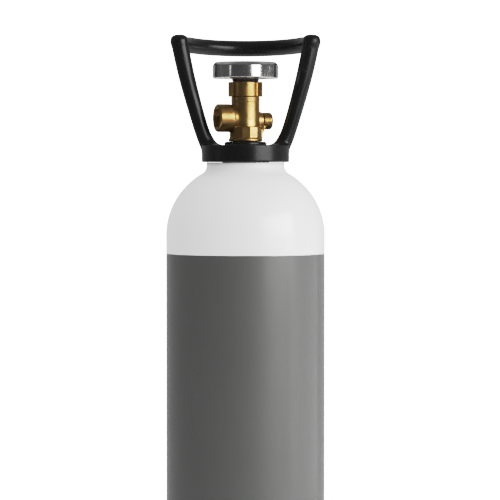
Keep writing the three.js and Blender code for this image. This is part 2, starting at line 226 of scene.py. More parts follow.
# handwheel and spindles
LOBES = 4
SCALLOP = 2.4
HUB_R = 13.0
HUB_FLOOR = 7.3
WHEEL_RECESS = 6.6
WHEEL_SQUARE_HALF = 3.75
WHEEL_HOLE_R = 4.6
WHEEL_NUT_BOTTOM = 85.8
WHEEL_NUT_TOP = 89.4
WHEEL_NUT_BORE_R = 3.3
WHEEL_NUT_HALF = 5.0
SPRING_R = 5.6
SPRING_WIRE_R = 0.68
SPRING_TURNS = 2
SPRING_RISE = 3.4
SPINDLE_R = 5.0
SPINDLE_COLLAR_R = 7.4
SPINDLE_SQUARE_HALF = 3.5
SPINDLE_END = 89.6
TANG_HALF_WIDTH = 4.5
TANG_HALF_THICKNESS = 1.5
TANG_END = 40.5
SEAT_PLUG_R = 7.2
SEAT_PLUG_BOTTOM = 32.9
SEAT_PLUG_TOP = 46.9
SEAT_PLUG_PITCH = 1.25
SEAT_PLUG_POCKET_R = 5.3
SEAT_DISC_R = 5.0
SEAT_DISC_BOTTOM = 30.35
SEAT_DISC_TOP = 34.25

# studio
CAMERA_DISTANCE = 2.870
CAMERA_X = 0.0049
CAMERA_Z = 0.6506
CAMERA_LENS = 191.2
CAMERA_TILT = math.radians(1.834)
LAMP_AIM_Z = 0.58
FLOOR_R = 1.8
FLOOR_DROP = 0.0004
FILL_FRONT = 0.35
FILL_BACK = 0.72
FILL_TOP = 0.3
ROOM_FRONT = 0.07
ROOM_BACK = 0.3
ROOM_TOP = 0.06
WHITE_POINT = 2.0

# Scene light against the display's linear light, for a soft shoulder below the white point.
TONE_CURVE = (
    (0.0, 0.0),
    (0.056, 0.056),
    (0.112, 0.13),
    (0.2, 0.296),
    (0.41, 0.631),
    (0.82, 0.80),
    (1.1, 0.91),
    (1.4, 0.96),
    (WHITE_POINT, 1.0),
)

# ------------------------ material kit


class Nodes:
    """Builds one material's node tree."""

    def __init__(self, name):
        self.material = bpy.data.materials.new(name)
        self.material.use_nodes = True
        self.tree = self.material.node_tree
        self.shader = self.tree.nodes["Principled BSDF"]
        self.place = self.add("ShaderNodeTexCoord").outputs["Object"]

    def add(self, kind, **settings):
        node = self.tree.nodes.new(kind)
        for key, value in settings.items():
            setattr(node, key, value)
        return node

    def link(self, source, target):
        self.tree.links.new(source, target)

    def fill(self, target, value):
        """Links a socket or sets a plain value."""
        if isinstance(value, bpy.types.NodeSocket):
            self.link(value, target)
        else:
            target.default_value = value

    def math(self, operation, a, b=0.0, c=0.0):
        node = self.add("ShaderNodeMath", operation=operation)
        for socket, value in zip(node.inputs, (a, b, c)):
            self.fill(socket, value)
        return node.outputs[0]

    def stretched(self, scale):
        """Object coordinates with each axis scaled."""
        node = self.add("ShaderNodeMapping")
        node.inputs["Scale"].default_value = scale
        self.link(self.place, node.inputs["Vector"])
        return node.outputs[0]

    def noise(self, per_metre, detail=4.0, roughness=0.55, distortion=0.0, place=None):
        node = self.add("ShaderNodeTexNoise")
        self.link(place or self.place, node.inputs["Vector"])
        for key, value in (("Scale", per_metre), ("Detail", detail),
                           ("Roughness", roughness), ("Distortion", distortion)):
            node.inputs[key].default_value = value
        return node.outputs["Fac"]

    def ramp(self, factor, low, high, start=0.0, end=1.0, **settings):
        """Maps a range of factor to a range of values, clamped."""
        node = self.add("ShaderNodeMapRange", **settings)
        self.fill(node.inputs["Value"], factor)
        for key, value in (("From Min", low), ("From Max", high), ("To Min", start), ("To Max", end)):
            self.fill(node.inputs[key], value)
        return node.outputs[0]

    def mix(self, factor, a, b):
        node = self.add("ShaderNodeMix", data_type="RGBA")
        self.fill(node.inputs["Factor"], factor)
        for name, value in (("A", a), ("B", b)):
            colours = [s for s in node.inputs if s.name == name and s.type == "RGBA"]
            self.fill(colours[0], value)
        return [s for s in node.outputs if s.type == "RGBA"][0]

    def mix_shaders(self, factor, a, b):
        node = self.add("ShaderNodeMixShader")
        for socket, source in zip(node.inputs, (factor, a, b)):
            self.link(source, socket)
        return node.outputs[0]

    def axis(self, name):
        node = self.add("ShaderNodeSeparateXYZ")
        self.link(self.place, node.inputs[0])
        return node.outputs[name]

    def radius(self):
        """Distance from the tank's axis, in metres."""
        x = self.axis("X")
        y = self.axis("Y")
        square = self.math("ADD", self.math("MULTIPLY", x, x), self.math("MULTIPLY", y, y))
        return self.math("SQRT", square)

    def scratches(self, per_metre, along, width=0.012):
        """Thin random lines: 1 on a scratch and 0 off it."""
        place = self.stretched(along)
        warp = self.noise(per_metre, detail=2.0, distortion=0.4, place=place)
        line = self.math("ABSOLUTE", self.math("SUBTRACT", warp, 0.5))
        patch = self.noise(per_metre * 0.35, detail=1.0)
        thin = self.ramp(line, 0.0, width, 1.0, 0.0)
        return self.math("MULTIPLY", thin, self.ramp(patch, 0.52, 0.66))

    def edges(self, radius, low, high):
        """1 on outer edges and 0 elsewhere, from a bevelled normal."""
        bevel = self.add("ShaderNodeBevel", samples=4)
        bevel.inputs["Radius"].default_value = radius
        geometry = self.add("ShaderNodeNewGeometry")
        dot = self.add("ShaderNodeVectorMath", operation="DOT_PRODUCT")
        self.link(bevel.outputs[0], dot.inputs[0])
        self.link(geometry.outputs["Normal"], dot.inputs[1])
        return self.ramp(dot.outputs["Value"], high, low)

    def bump(self, height, distance, strength=1.0, over=None):
        node = self.add("ShaderNodeBump")
        node.inputs["Distance"].default_value = distance
        node.inputs["Strength"].default_value = strength
        self.fill(node.inputs["Height"], height)
        if over is not None:
            self.link(over, node.inputs["Normal"])
        return node.outputs[0]

    def finish(self, colour, roughness, normal=None, metallic=0.0, **plain):
        self.fill(self.shader.inputs["Base Color"], colour)
        self.fill(self.shader.inputs["Roughness"], roughness)
        self.shader.inputs["Metallic"].default_value = metallic
        if normal is not None:
            self.link(normal, self.shader.inputs["Normal"])
        for key, value in plain.items():
            self.shader.inputs[key.replace("_", " ")].default_value = value
        return self.material


def rgb(r, g, b):
    return (r, g, b, 1.0)


# ------------------------ materials


def cylinder_paint():
    """Stove enamel in two colours, with orange peel, rubs and fine scratches."""
    n = Nodes("cylinder_enamel")
    waviness = n.noise(55.0, detail=2.0)
    edge = n.math("MULTIPLY_ADD", waviness, 0.6 * MM, (PAINT_LINE_Z - 0.3) * MM)
    above = n.ramp(n.math("SUBTRACT", n.axis("Z"), edge), -0.35 * MM, 0.35 * MM)
    cloud = n.noise(9.0, detail=5.0)
    grey = n.mix(cloud, rgb(0.093, 0.095, 0.092), rgb(0.107, 0.109, 0.106))
    white = n.mix(cloud, rgb(0.72, 0.725, 0.72), rgb(0.79, 0.79, 0.785))
    base = n.mix(above, grey, white)
    rubbed = n.mix(above, rgb(0.2, 0.2, 0.195), rgb(0.55, 0.55, 0.54))
    primer = n.mix(above, rgb(0.03, 0.03, 0.03), rgb(0.4, 0.4, 0.39))
    rub = n.scratches(90.0, (1.0, 1.0, 0.22), 0.006)
    nick = n.ramp(n.noise(260.0, detail=3.0), 0.75, 0.775)
    worn = n.mix(n.math("MULTIPLY", rub, 0.07), base, rubbed)
    chipped = n.mix(n.math("MULTIPLY", nick, 0.4), worn, primer)
    satin = n.ramp(n.noise(24.0, detail=6.0), 0.3, 0.7, 0.46, 0.54)
    roughness = n.math("ADD", satin, n.math("MULTIPLY", rub, 0.06))
    peel = n.bump(n.noise(420.0, detail=2.0), 40 * MICRON, 0.12)
    step = n.bump(above, 60 * MICRON, 0.6, over=peel)
    normal = n.bump(n.math("MULTIPLY", nick, -1.0), 50 * MICRON, 0.15, over=step)
    return n.finish(chipped, roughness, normal, Coat_Weight=0.3, Coat_Roughness=0.16,
                    Specular_IOR_Level=0.8, Coat_IOR=1.65, Sheen_Weight=0.14, Sheen_Roughness=0.4)


def moulded_plastic(name, roughness=0.27, tone=0.007):
    """Black injection-moulded plastic with a fine spark-eroded grain."""
    n = Nodes(name)
    cloud = n.noise(30.0, detail=4.0)
    base = n.mix(cloud, rgb(tone, tone, tone * 1.04), rgb(tone * 1.8, tone * 1.8, tone * 1.85))
    scuff = n.scratches(60.0, (1.0, 1.0, 0.5), 0.01)
    wear = n.edges(1.2 * MM, 0.80, 0.97)
    light = n.math("ADD", n.math("MULTIPLY", scuff, 0.25), n.math("MULTIPLY", wear, 0.12))
    colour = n.mix(light, base, rgb(0.11, 0.11, 0.115))
    rough = n.math("ADD", n.ramp(n.noise(45.0, detail=5.0), 0.3, 0.7, roughness - 0.05, roughness + 0.07),
                   n.math("MULTIPLY", scuff, 0.15))
    grain = n.bump(n.noise(1500.0, detail=3.0), 50 * MICRON, 0.25)
    normal = n.bump(n.noise(110.0, detail=2.0), 100 * MICRON, 0.06, over=grain)
    return n.finish(colour, rough, normal, Specular_IOR_Level=0.46)


def brass(name, turned_pitch=None, along="Z", tarnish=0.5):
    """Brass: forged skin, or turned with fine tool rings at the given pitch along an axis."""
    n = Nodes(name)
    cloud = n.noise(60.0, detail=5.0, roughness=0.6)
    stain = n.ramp(n.noise(22.0, detail=6.0, roughness=0.65), 0.42, 0.66)
    bright = n.mix(cloud, rgb(0.46, 0.30, 0.12), rgb(0.52, 0.345, 0.145))
    dull = rgb(0.25, 0.165, 0.075)
    base = n.mix(n.math("MULTIPLY", stain, tarnish), bright, dull)
    wear = n.edges(0.6 * MM, 0.86, 0.985)
    colour = n.mix(n.math("MULTIPLY", wear, 0.35), base, rgb(0.62, 0.47, 0.25))
    rough = n.ramp(n.noise(90.0, detail=6.0), 0.3, 0.7, 0.27, 0.38)
    rough = n.math("ADD", rough, n.math("MULTIPLY", stain, 0.08))
    if turned_pitch:
        rings = n.math("SINE", n.math("MULTIPLY", n.axis(along), 2 * math.pi / turned_pitch))
        uneven = n.math("MULTIPLY", rings, n.noise(240.0, detail=2.0))
        normal = n.bump(uneven, 25 * MICRON, 0.7)
    else:
        normal = n.bump(n.noise(650.0, detail=4.0, roughness=0.6), 120 * MICRON, 0.35)
        normal = n.bump(n.noise(120.0, detail=3.0), 300 * MICRON, 0.2, over=normal)
    return n.finish(colour, rough, normal, metallic=1.0)


def chrome():
    """Chrome plate over a polished casting, with fine handling marks."""
    n = Nodes("chrome_plate")
    cloud = n.noise(45.0, detail=4.0)
    hairline = n.scratches(150.0, (1.0, 1.0, 0.25), 0.014)
    smear = n.ramp(n.noise(28.0, detail=6.0, roughness=0.6), 0.42, 0.68)
    base = n.mix(cloud, rgb(0.60, 0.60, 0.60), rgb(0.68, 0.68, 0.675))
    colour = n.mix(n.math("MULTIPLY", smear, 0.25), base, rgb(0.48, 0.475, 0.46))
    rough = n.math("ADD", n.math("MULTIPLY", smear, 0.03), n.math("MULTIPLY", hairline, 0.1))
    rough = n.math("ADD", rough, 0.2)
    normal = n.bump(n.noise(210.0, detail=3.0), 30 * MICRON, 0.04)
    normal = n.bump(n.math("MULTIPLY", hairline, -1.0), 5 * MICRON, 0.2, over=normal)
    return n.finish(colour, rough, normal, metallic=1.0)


def zinc_steel():
    """Zinc-plated steel with a mottled satin skin."""
    n = Nodes("zinc_plate")
    cloud = n.noise(160.0, detail=5.0)
    colour = n.mix(cloud, rgb(0.42, 0.43, 0.44), rgb(0.60, 0.61, 0.62))
    rough = n.ramp(n.noise(220.0, detail=5.0), 0.3, 0.7, 0.28, 0.46)
    normal = n.bump(n.noise(900.0, detail=4.0), 40 * MICRON, 0.4)
    return n.finish(colour, rough, normal, metallic=1.0)


def seal_rubber():
    """Black nitrile rubber."""
    n = Nodes("nitrile_rubber")
    colour = n.mix(n.noise(200.0), rgb(0.012, 0.012, 0.012), rgb(0.022, 0.022, 0.022))
    rough = n.ramp(n.noise(400.0, detail=4.0), 0.3, 0.7, 0.55, 0.75)
    return n.finish(colour, rough, n.bump(n.noise(1200.0), 30 * MICRON, 0.5))


def seal_polymer():
    """Off-white machined seal polymer."""
    n = Nodes("seal_polymer")
    colour = n.mix(n.noise(150.0), rgb(0.66, 0.63, 0.55), rgb(0.78, 0.75, 0.68))
    rough = n.ramp(n.noise(300.0, detail=4.0), 0.3, 0.7, 0.42, 0.6)
    return n.finish(colour, rough, n.bump(n.noise(1000.0), 30 * MICRON, 0.5))


# the pitch of the rings that the lathe tool leaves, in metres
TOOL_PITCH = 0.7 * MM

# each finish: its material and the library slot that stands for it
FINISHES = {
    "cylinder_paint": (cylinder_paint(), "cylinder_paint"),
    "guard": (moulded_plastic("guard_plastic"), "moulded_plastic"),
    "boot": (moulded_plastic("boot_plastic", roughness=0.45, tone=0.012), "moulded_plastic"),
    "collar": (moulded_plastic("collar_plastic", roughness=0.24, tone=0.008), "moulded_plastic"),
    "forged": (brass("forged_brass"), "brass"),
    "turned": (brass("turned_brass", turned_pitch=TOOL_PITCH, tarnish=0.35), "brass"),
    "turned_side": (brass("turned_brass_side", turned_pitch=TOOL_PITCH, along="X", tarnish=0.35), "brass"),
    "chrome": (chrome(), "chrome_wheel"),
    "zinc": (zinc_steel(), "zinc_steel"),
    "rubber": (seal_rubber(), "seal_rubber"),
    "polymer": (seal_polymer(), "seal_polymer"),
}

# ------------------------ mesh kit

LAY_ALONG_X = Matrix.Rotation(math.radians(90), 4, "Y")
TURN_VALVE = Matrix.Rotation(VALVE_YAW, 4, "Z")


def to_mesh(name, bm, moves):
    """Turns a millimetre bmesh into a frame mesh, moved by matrices from first to last."""
    bmesh.ops.remove_doubles(bm, verts=bm.verts, dist=1e-5)
    bmesh.ops.recalc_face_normals(bm, faces=bm.faces)
    for move in (*moves, Matrix.Translation((0, 0, NECK_Z)), Matrix.Scale(MM, 4)):
        bm.transform(move)
    mesh = bpy.data.meshes.new(name)
    bm.to_mesh(mesh)
    bm.free()
    return mesh


def piece(name, bm, finish, body, node, moves=(), smooth_angle=32):
    """Puts a bmesh, in millimetres above the neck, into the scene in place of a CAD node."""
    mesh = to_mesh(name, bm, moves)
    for face in mesh.polygons:
        face.use_smooth = True
    mesh.set_sharp_from_angle(angle=math.radians(smooth_angle))
    material, slot = FINISHES[finish]
    mesh.materials.append(material)
    made = bpy.data.objects.new(name, mesh)
    bpy.context.scene.collection.objects.link(made)
    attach(made, body)
    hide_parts(node)


def rounded(corners, steps=4):
    """An outline of (radius, height, fillet) corners with its fillets worked out as arcs."""
    points = []
    count = len(corners)
    for i, corner in enumerate(corners):
        here = Vector(corner[:2])
        fillet = corner[2] if len(corner) > 2 else 0.0
        before = Vector(corners[i - 1][:2]) - here
        after = Vector(corners[(i + 1) % count][:2]) - here
        if fillet <= 0 or before.length == 0 or after.length == 0:
            points.append(tuple(here))
            continue
        half = before.angle(after) / 2
        reach = min(fillet / math.tan(half), before.length * 0.49, after.length * 0.49)
        size = reach * math.tan(half)
        centre = here + (before.normalized() + after.normalized()).normalized() * size / math.sin(half)
        start = here + before.normalized() * reach - centre
        end = here + after.normalized() * reach - centre
        sweep = start.angle_signed(end)
        for k in range(steps + 1):
            turn = Matrix.Rotation(-sweep * k / steps, 2)
            points.append(tuple(centre + turn @ start))
    return points


def revolve(outline, segments=96, scale_at=None):
    """A closed bmesh turned about Z. scale_at(angle, radius, height) may move a point's radius."""
    bm = bmesh.new()
    rings = []
    for r, z in outline:
        if abs(r) < 1e-6:
            rings.append([bm.verts.new((0, 0, z))])
            continue
        verts = []
        for k in range(segments):
            a = 2 * math.pi * k / segments
            rr = scale_at(a, r, z) if scale_at else r
            verts.append(bm.verts.new((rr * math.cos(a), rr * math.sin(a), z)))
        rings.append(verts)
    on_axis = len(rings[0]) == 1 and len(rings[-1]) == 1
    pairs = list(zip(rings, rings[1:]))
    if not on_axis:
        pairs.append((rings[-1], rings[0]))
    for low, high in pairs:
        if len(low) == 1 and len(high) == 1:
            continue
        for k in range(segments):
            j = (k + 1) % segments
            corners = [low[k % len(low)], low[j % len(low)], high[j % len(high)], high[k % len(high)]]
            bm.faces.new(list(dict.fromkeys(corners)))
    return bm


def ring(inner, outer, bottom, top, fillet=0.3, segments=72):
    """A flat ring with rounded edges."""
    corners = [(inner, bottom, fillet), (outer, bottom, fillet), (outer, top, fillet), (inner, top, fillet)]
    return revolve(rounded(corners, 3), segments)


def torus(radius, section, z, segments=72):
    """A ring of round section, centred at height z."""
    sides = 20
    outline = []
    for i in range(sides):
        a = 2 * math.pi * i / sides
        outline.append((radius + section * math.cos(a), z + section * math.sin(a)))
    return revolve(outline, segments)


class Field:
    """A signed-distance field on a grid, in millimetres, negative inside."""

    def __init__(self, low, high, step):
        self.low = np.array(low, dtype=np.float32)
        self.step = step
        axes = [np.arange(a, b + step, step, dtype=np.float32) for a, b in zip(low, high)]
        self.x = axes[0][:, None, None]
        self.y = axes[1][None, :, None]
        self.z = axes[2][None, None, :]
        self.shape = tuple(len(a) for a in axes)
        self.radius = np.sqrt(self.x ** 2 + self.y ** 2)

    def bmesh(self, values):
        """The surface where the field is zero."""
        grid = openvdb.FloatGrid(float(values.max()))
        grid.copyFromArray(np.array(np.broadcast_to(values, self.shape), dtype=np.float32))
        points, quads = grid.convertToQuads(0.0)
        mesh = bpy.data.meshes.new("field")
        mesh.from_pydata((points * self.step + self.low).tolist(), [], quads.tolist())
        bm = bmesh.new()
        bm.from_mesh(mesh)
        bpy.data.meshes.remove(mesh)
        return bm


def cylinder_field(across, along, radius, start, end, edge=0.0):
    """Distance to a finite cylinder, with its edges rounded."""
    side = across - radius + edge
    ends = np.maximum(start - along, along - end) + edge
    outside = np.sqrt(np.maximum(side, 0) ** 2 + np.maximum(ends, 0) ** 2)
    return outside + np.minimum(np.maximum(side, ends), 0) - edge


def join(a, b, blend=0.0):
    """Union, with a fillet."""
    blend = np.maximum(blend, 1e-6)
    h = np.clip(0.5 + 0.5 * (b - a) / blend, 0, 1)
    return b * (1 - h) + a * h - blend * h * (1 - h)


def cut(a, b, blend=0.0):
    """Difference, with a rounded edge."""
    return -join(-a, b, blend)


def capsule_chain(field, x, points):
    """Distance to a chain of round-ended tapered segments in the plane y = 0."""
    best = None
    for (x0, z0, r0), (x1, z1, r1) in zip(points, points[1:]):
        dx = x1 - x0
        dz = z1 - z0
        t = np.clip(((x - x0) * dx + (field.z - z0) * dz) / (dx * dx + dz * dz), 0, 1)
        gap = np.sqrt((x - x0 - t * dx) ** 2 + field.y ** 2 + (field.z - z0 - t * dz) ** 2)
        gap = gap - (r0 + (r1 - r0) * t)
        best = gap if best is None else np.minimum(best, gap)
    return best


def from_flat(angle):
    """The angle from the middle of the nearest side of a hexagon."""
    sector = math.pi / 3
    return angle % sector - sector / 2


def hexagon_below(limit):
    """Squeezes round rings no larger than the limit into hexagons with the same corners."""
    def scale_at(angle, radius, _height):
        if radius > limit:
            return radius
        return radius * math.cos(math.pi / 6) / math.cos(from_flat(angle))
    return scale_at


def hexagon_beyond(half):
    """Trims round rings to a hexagon of the given half width, where they reach past its sides."""
    def scale_at(angle, radius, _height):
        return min(radius, half / math.cos(from_flat(angle)))
    return scale_at


# ------------------------ vessel and boot


def ellipse_arc(a, b, centre_z, start, end, count):
    """Points on an ellipse about the axis, with angles in degrees above the horizontal."""
    points = []
    for i in range(count + 1):
        angle = math.radians(start + (end - start) * i / count)
        points.append((max(a * math.cos(angle), 0.0), centre_z + b * math.sin(angle)))
    return points


def ellipse_angle(a, r):
    """Where an ellipse of half width a has the radius r, in degrees."""
    return math.degrees(math.acos(r / a))


def bend(start, corner, end, steps):
    """Points on a curve that leaves start towards corner and reaches end from it, without start itself."""
    points = []
    for k in range(1, steps + 1):
        t = k / steps
        shares = ((1 - t) ** 2, 2 * t * (1 - t), t * t)
        points.append(tuple(sum(w * p[i] for w, p in zip(shares, (start, corner, end))) for i in (0, 1)))
    return points


def make_vessel():
    """Drawn steel vessel, hollow and open through its neck."""
    inner_r = TANK_R - SIDE_WALL
    dome_z = TANK_FOOT + DOME_H
    collar_top = NECK_Z + NECK_COLLAR_TOP
    seat_z = NECK_Z - NECK_SEAT_DEPTH
    fillet_corner = (NECK_COLLAR_R + 0.5, collar_top - NECK_FILLET_CORNER)
    fillet_end = (NECK_COLLAR_R, collar_top - NECK_FILLET_TOP)
    outline = ellipse_arc(TANK_R, DOME_H, dome_z, -90, 0, 26)
    outline += [(TANK_R, dome_z + (SHOULDER_Z - dome_z) * k / 24) for k in range(1, 24)]
    outline += ellipse_arc(TANK_R, SHOULDER_H, SHOULDER_Z, 0, ellipse_angle(TANK_R, NECK_FILLET_R), 30)
    outline += bend(outline[-1], fillet_corner, fillet_end, 8)
    outline += rounded([
        (NECK_COLLAR_R, collar_top - 4.0), (NECK_COLLAR_R, collar_top, 0.6), (NECK_R, collar_top, 0.4),
        (NECK_R, NECK_Z, 0.8), (NECK_SEAT_R, NECK_Z, 0.3), (NECK_SEAT_R, seat_z, 0.3),
        (NECK_BORE_R, seat_z, 0.3), (NECK_BORE_R, NECK_Z - NECK_BORE_DEPTH),
    ])
    outline += ellipse_arc(inner_r, SHOULDER_INNER_H, SHOULDER_Z, ellipse_angle(inner_r, NECK_BORE_R), 0, 16)
    outline += ellipse_arc(inner_r, DOME_H - DOME_WALL, dome_z, 0, -90, 16)
    bm = revolve([(r, z - NECK_Z) for r, z in outline], 160)
    piece("cylinder_vessel", bm, "cylinder_paint", FIXED, "cylinder_shell")


def make_boot():
    """Moulded boot: a ribbed cup on a foot ring, with fluted sides and drain holes."""
    f = Field((-BOOT_R - 2, -BOOT_R - 2, -3), (BOOT_R + 2, BOOT_R + 2, BOOT_H + 3), 1.1)
    angle = np.arctan2(f.y, f.x)
    flute = 0.5 - 0.5 * np.cos(angle * FLUTES)
    above_foot = np.clip((f.z - FLUTE_MARGIN) / 4, 0, 1)
    below_rim = np.clip((BOOT_H - FLUTE_MARGIN - f.z) / 4, 0, 1)
    outer_r = BOOT_R - 0.05 - FLUTE_DEPTH * flute ** 2 * above_foot * below_rim
    outside = cylinder_field(f.radius, f.z, outer_r, 0.0, BOOT_H, 2.0)
    # the cup is an ellipsoid below the dome's centre and a cylinder above it
    cup_r = TANK_R + BOOT_GAP
    dome_z = TANK_FOOT + DOME_H
    drop = np.minimum(f.z - dome_z, 0) * (cup_r / (DOME_H + BOOT_GAP))
    bowl = (np.sqrt(f.radius ** 2 + drop ** 2) - cup_r) * 0.85
    pocket = np.maximum(f.radius - POCKET_OUTER_R, POCKET_INNER_R - f.radius)
    pocket = np.maximum(BOOT_SKIN - bowl, pocket)
    spoke = np.abs(np.sin(angle * SPOKES / 2 + math.pi / 2)) * f.radius * 2 / SPOKES
    pocket = np.maximum(pocket, SPOKE_HALF - spoke)
    boot = cut(outside, bowl)
    boot = cut(boot, pocket, 0.8)
    boot = cut(boot, f.radius - BOOT_BORE_R)
    for k in range(DRAIN_HOLES):
        a = 2 * math.pi * k / DRAIN_HOLES
        across = f.x - DRAIN_CIRCLE_R * math.cos(a)
        along = f.y - DRAIN_CIRCLE_R * math.sin(a)
        boot = cut(boot, np.sqrt(across ** 2 + along ** 2) - DRAIN_HOLE_R)
    bm = f.bmesh(boot)
    bm.transform(Matrix.Translation((0, 0, -NECK_Z)))
    piece("moulded_boot", bm, "boot", FIXED, "tank_boot", smooth_angle=50)


# ------------------------ guard and neck fittings


def spline(points, steps):
    """A Catmull-Rom curve through points of any dimension."""
    rows = [np.array(p, dtype=float) for p in points]
    rows = [2 * rows[0] - rows[1]] + rows + [2 * rows[-1] - rows[-2]]
    curve = []
    for a, b, c, d in zip(rows, rows[1:], rows[2:], rows[3:]):
        for i in range(steps):
            t = i / steps
            curve.append(0.5 * (2 * b + (c - a) * t + (2 * a - 5 * b + 4 * c - d) * t ** 2
                                + (3 * b - a - 3 * c + d) * t ** 3))
    return curve + [rows[-2]]


def grip_field(f):
    """Distance to the grip: a tilted half ring behind the posts, with a round end at each."""
    lean = math.atan(GRIP_TILT)
    along = f.y * math.cos(lean) - (f.z - GRIP_Z) * math.sin(lean)
    up = f.y * math.sin(lean) + (f.z - GRIP_Z) * math.cos(lean)
    around = np.sqrt(f.x ** 2 + along ** 2)
    arc = np.sqrt((around - GRIP_R) ** 2 + up ** 2) - GRIP_TUBE_R
    end = np.sqrt((np.abs(f.x) - GRIP_R) ** 2 + along ** 2 + up ** 2) - GRIP_TUBE_R
    return np.where(along > 0, arc, end)


def make_guard():
    """One-piece moulded guard: a ring on the neck, two posts and a grip round the rear."""
    f = Field((-82, -49, -GUARD_SKIRT - 3), (82, 82, GUARD_TOP + 3), 0.8)
    body = cylinder_field(f.radius, f.z, GUARD_R, -GUARD_SKIRT, 0.0, 0.8)
    post = capsule_chain(f, np.abs(f.x), spline(POST, 7))
    # a wide fillet inside the posts and a tight one outside
    fillet = 1.5 + 6.0 * np.clip((GUARD_R + 1 - f.radius) / 6, 0, 1)
    shape = join(join(body, post, fillet), grip_field(f), 3.0)
    # the posts' tips are flattened, and the grip between them isn't
    over_grip = 5.0 * np.clip((POST_TIP_INNER - np.abs(f.x)) / 6, 0, 1)
    shape = cut(shape, GRIP_Z + POST_TIP_H + over_grip - f.z, 3.5)
    hollow = cylinder_field(f.radius, f.z, GUARD_INNER_R, -GUARD_SKIRT - 5, -GUARD_PLATE, 0.5)
    shape = cut(shape, hollow, 0.4)
    shape = cut(shape, f.radius - NECK_R - 0.3, 0.6)
    for degrees in LOCK_SCREW_ANGLES.values():
        a = math.radians(degrees)
        side = f.y * math.cos(a) - f.x * math.sin(a)
        reach = f.x * math.cos(a) + f.y * math.sin(a)
        hole = np.sqrt(side ** 2 + (f.z - LOCK_SCREW_Z) ** 2) - LOCK_SCREW_R - 0.35
        shape = cut(shape, np.maximum(hole, 30 - reach), 0.4)
    bm = f.bmesh(shape)
    piece("guard_moulding", bm, "guard", FIXED, "carry_guard", smooth_angle=55)


def make_neck_fittings():
    """Threaded ring under the guard, black inspection ring, neck seal and two grub screws."""
    bm = revolve(rounded([
        (NECK_RING_INNER_R, NECK_RING_BOTTOM, 0.5), (NECK_RING_R, NECK_RING_BOTTOM, 0.8),
        (NECK_RING_R, NECK_RING_TOP, 0.8), (NECK_RING_INNER_R, NECK_RING_TOP, 0.5),
    ]))
    piece("threaded_neck_ring", bm, "zinc", FIXED, "neck_ring")

    bm = revolve(rounded([
        (INSPECTION_INNER_R, INSPECTION_BOTTOM, 0.2),
        (INSPECTION_R, INSPECTION_BOTTOM, 0.5),
        (INSPECTION_R, INSPECTION_TOP - 1.2, 0.5),
        (INSPECTION_R - 1.5, INSPECTION_TOP, 0.4),
        (INSPECTION_INNER_R, INSPECTION_TOP, 0.2),
    ]))
    piece("black_inspection_ring", bm, "collar", FIXED, "inspection_ring")

    seal = torus(NECK_SEAL_R, NECK_SEAL_SECTION, NECK_SEAL_Z)
    piece("neck_seal", seal, "rubber", FIXED, "neck_o_ring")

    floor = LOCK_SCREW_END - LOCK_SOCKET_DEPTH
    for side, degrees in LOCK_SCREW_ANGLES.items():
        bm = revolve(rounded([
            (0, LOCK_SCREW_START), (LOCK_SCREW_R - 0.6, LOCK_SCREW_START, 0.3),
            (LOCK_SCREW_R - 0.1, LOCK_SCREW_START + 0.8), (LOCK_SCREW_R - 0.1, LOCK_SCREW_END, 0.35),
            (LOCK_SOCKET_R, LOCK_SCREW_END, 0.2), (LOCK_SOCKET_R, floor), (0, floor),
        ], 2), 48, hexagon_below(LOCK_SOCKET_R + 0.05))
        turn = Matrix.Rotation(math.radians(degrees), 4, "Z")
        moves = LAY_ALONG_X, Matrix.Translation((0, 0, LOCK_SCREW_Z)), turn
        piece(f"grub_screw_{side}", bm, "zinc", FIXED, f"guard_lock_screw_{side}", moves)


# ------------------------ valve body and fixed fittings


def valve_trunk(f, angle):
    """Distance to the upright body, its flared foot with spanner flats, and the flange under it."""
    slim = BODY_R - 0.012 * np.maximum(f.z - FLARE_TOP, 0)
    trunk = cylinder_field(f.radius, f.z, slim, FOOT_Z, BODY_TOP, 0.5)
    collar = cylinder_field(f.radius, f.z, BODY_R - 0.05, BODY_COLLAR_Z, BODY_TOP, 0.35)
    trunk = join(trunk, collar, 0.2)
    flare_r = np.clip(BODY_R + (FLARE_TOP - f.z) * 0.1, BODY_R, FLARE_R)
    flare = cylinder_field(f.radius, f.z, flare_r, FOOT_Z, FLARE_TOP)
    sector = 2 * math.pi / BASE_FLATS
    off = np.abs(angle % sector - sector / 2)
    ends = np.maximum(FOOT_Z - f.z, f.z - BASE_FLATS_TOP)
    flats = np.maximum(f.radius * np.cos(off) - BASE_ACROSS_FLATS / 2, ends)
    chamfer = f.radius * 0.85 + (f.z - BASE_FLATS_TOP) * 0.53 - 14.4
    foot = np.maximum(flats, chamfer)
    flange = cylinder_field(f.radius, f.z, FLANGE_R, FLANGE_Z, FOOT_Z + 0.6, 0.4)
    return join(join(join(trunk, flare), foot, 0.8), flange, 2.6)


def outlet_boss(f, across):
    """Distance to the outlet's round head, which swells from a narrower root."""
    dome = np.clip((OUTLET_SHOULDER + f.x) / OUTLET_DOME, 0, 1)
    swell = OUTLET_ROOT_R + (OUTLET_R - OUTLET_ROOT_R) * np.sqrt(1 - dome ** 2)
    mouth = 0.32 * np.maximum(-f.x - OUTLET_LENGTH + 2.0, 0) ** 2
    return cylinder_field(across, -f.x, swell - mouth, 0.0, OUTLET_LENGTH, 0.7)


def relief_web(f):
    """Distance to the forged web that carries the relief stub."""
    sides = np.abs(f.y) - 5.5 - (f.x - 12) * 0.2
    ends = np.maximum(8 - f.z, f.z - RELIEF_Z)
    slope = (f.x - 17.6 - np.maximum(f.z - 12, 0) * 0.45) * 0.9
    return np.maximum(np.maximum(np.maximum(sides, ends), slope), -f.x)


